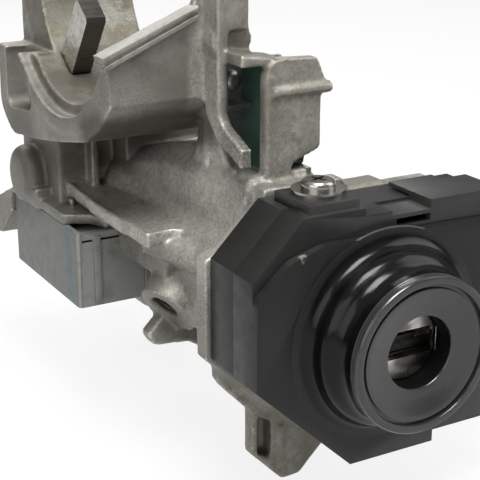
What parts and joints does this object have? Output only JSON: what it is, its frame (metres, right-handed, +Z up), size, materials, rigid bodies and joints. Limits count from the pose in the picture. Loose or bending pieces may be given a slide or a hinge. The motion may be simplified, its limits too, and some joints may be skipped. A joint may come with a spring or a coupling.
{
  "type": "ignition switch",
  "caption": "Ignition switch with steering lock: black key nose, cast housing with column saddle and lock bolt, green key interlock and rear electrical switch.",
  "frame": {"origin": "centre of the nose ring's front plane, on the key axis", "axes": "+Y is the way the key goes in, +X is to the driver's right, +Z is up; the steering column runs along X above and behind"},
  "size_m": [0.0924, 0.149, 0.1129],
  "materials": {
    "cast": "rough die cast",
    "black": "satin moulded",
    "gloss_black": "polished moulded",
    "zinc": "bright zinc",
    "dark_plastic": "moulded",
    "board": "solder mask",
    "contact": "stamped",
    "die_zinc": "smooth cast",
    "steel": "stamped",
    "plug": "polished face",
    "bolt_steel": "ground",
    "cover_grey": "satin",
    "switch_plastic": "moulded",
    "green": "moulded"
  },
  "bodies": {
    "housing": {"lock_housing": "cast", "front_shell": "black", "rear_shell": "black", "nose_bezel": "gloss_black", "housing_screw": "zinc", "screw_washer": "zinc", "antenna_coil": "dark_plastic", "circuit_board": "board", "socket_pins": "contact", "cylinder_sleeve": "die_zinc", "cylinder_pin": "steel", "bolt_spring": "steel", "mechanism_cover": "cover_grey", "cover_rivets": "steel", "switch_body": "switch_plastic", "switch_cap": "switch_plastic", "switch_terminals": "contact", "switch_screws": "zinc", "interlock_coil": "green", "interlock_frame": "steel", "interlock_rivet": "steel", "interlock_spring": "steel", "key_sensor_body": "dark_plastic", "key_sensor_spring": "steel"},
    "plug": {"key_plug": "plug", "wafers": "contact", "wafer_springs": "steel", "plug_clip": "steel", "tail_shaft": "die_zinc", "lock_cam": "steel", "switch_rotor": "switch_plastic", "shutter_spring": "steel"},
    "bolt": {"lock_bolt": "bolt_steel", "bolt_carrier": "steel"},
    "shutter": {"key_shutter": "steel"},
    "interlock": {"interlock_plunger": "steel"},
    "key_sensor": {"key_sensor_plunger": "switch_plastic"}
  },
  "joints": [
    {"name": "key_turn", "type": "hinge", "parent": "housing", "child": "plug", "pos_m": [0, 0, 0], "axis": [0, 1, 0], "range_deg": [0, 110]},
    {"name": "bolt_slide", "type": "slide", "parent": "housing", "child": "bolt", "axis": [0, 0.6, -0.8], "range_m": [0, 0.008], "deforming": ["bolt_spring"]},
    {"name": "shutter_swing", "type": "hinge", "parent": "plug", "child": "shutter", "pos_m": [0, 0.008, 0.0021], "axis": [1, 0, 0], "range_deg": [0, 75], "stiffness_Nm_per_rad": 0.002, "springref_deg": -22.92},
    {"name": "interlock_drop", "type": "slide", "parent": "housing", "child": "interlock", "axis": [0, 0, -1], "range_m": [0, 0.003], "stiffness_N_per_m": 200, "springref_m": -0.002, "deforming": ["interlock_spring"]},
    {"name": "key_sensor_press", "type": "slide", "parent": "housing", "child": "key_sensor", "axis": [1, 0, 0], "range_m": [0, 0.0012], "stiffness_N_per_m": 200, "springref_m": -0.002, "deforming": ["key_sensor_spring"]}
  ],
  "couplings": [
    {"joint": "key_turn", "follows": "bolt_slide", "rad_per_m": 239.98}
  ]
}
